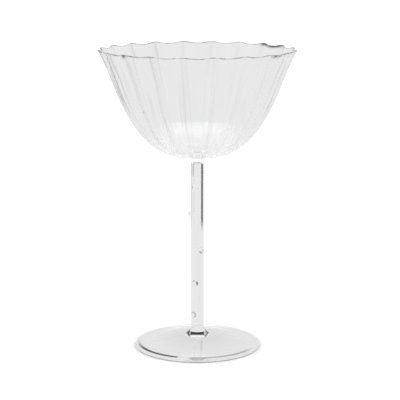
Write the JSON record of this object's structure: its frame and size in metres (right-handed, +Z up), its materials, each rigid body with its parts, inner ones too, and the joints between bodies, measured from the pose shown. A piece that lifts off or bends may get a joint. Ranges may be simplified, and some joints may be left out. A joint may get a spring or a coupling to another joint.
{
  "type": "coupe glass",
  "caption": "Clear stemmed coupe with a fluted, scalloped-rim bowl on a slim hollow stem with small fused drops, a flared collar and a domed round foot with a rounded edge.",
  "frame": {"origin": "on the axis, at the level of the surface that the glass stands on", "axes": "+Z up along the stem to the bowl's mouth, -Y to the front, +X to the right as seen from the front"},
  "size_m": [0.1084, 0.1084, 0.1688],
  "materials": {
    "clear_glass": "clear, fire-polished"
  },
  "bodies": {
    "root": {"foot_disc": "clear_glass", "foot_collar": "clear_glass", "stem_tube": "clear_glass", "bowl_seal": "clear_glass", "bowl": "clear_glass", "drop_1": "clear_glass", "drop_2": "clear_glass", "drop_3": "clear_glass", "drop_4": "clear_glass", "drop_5": "clear_glass"}
  },
  "joints": []
}
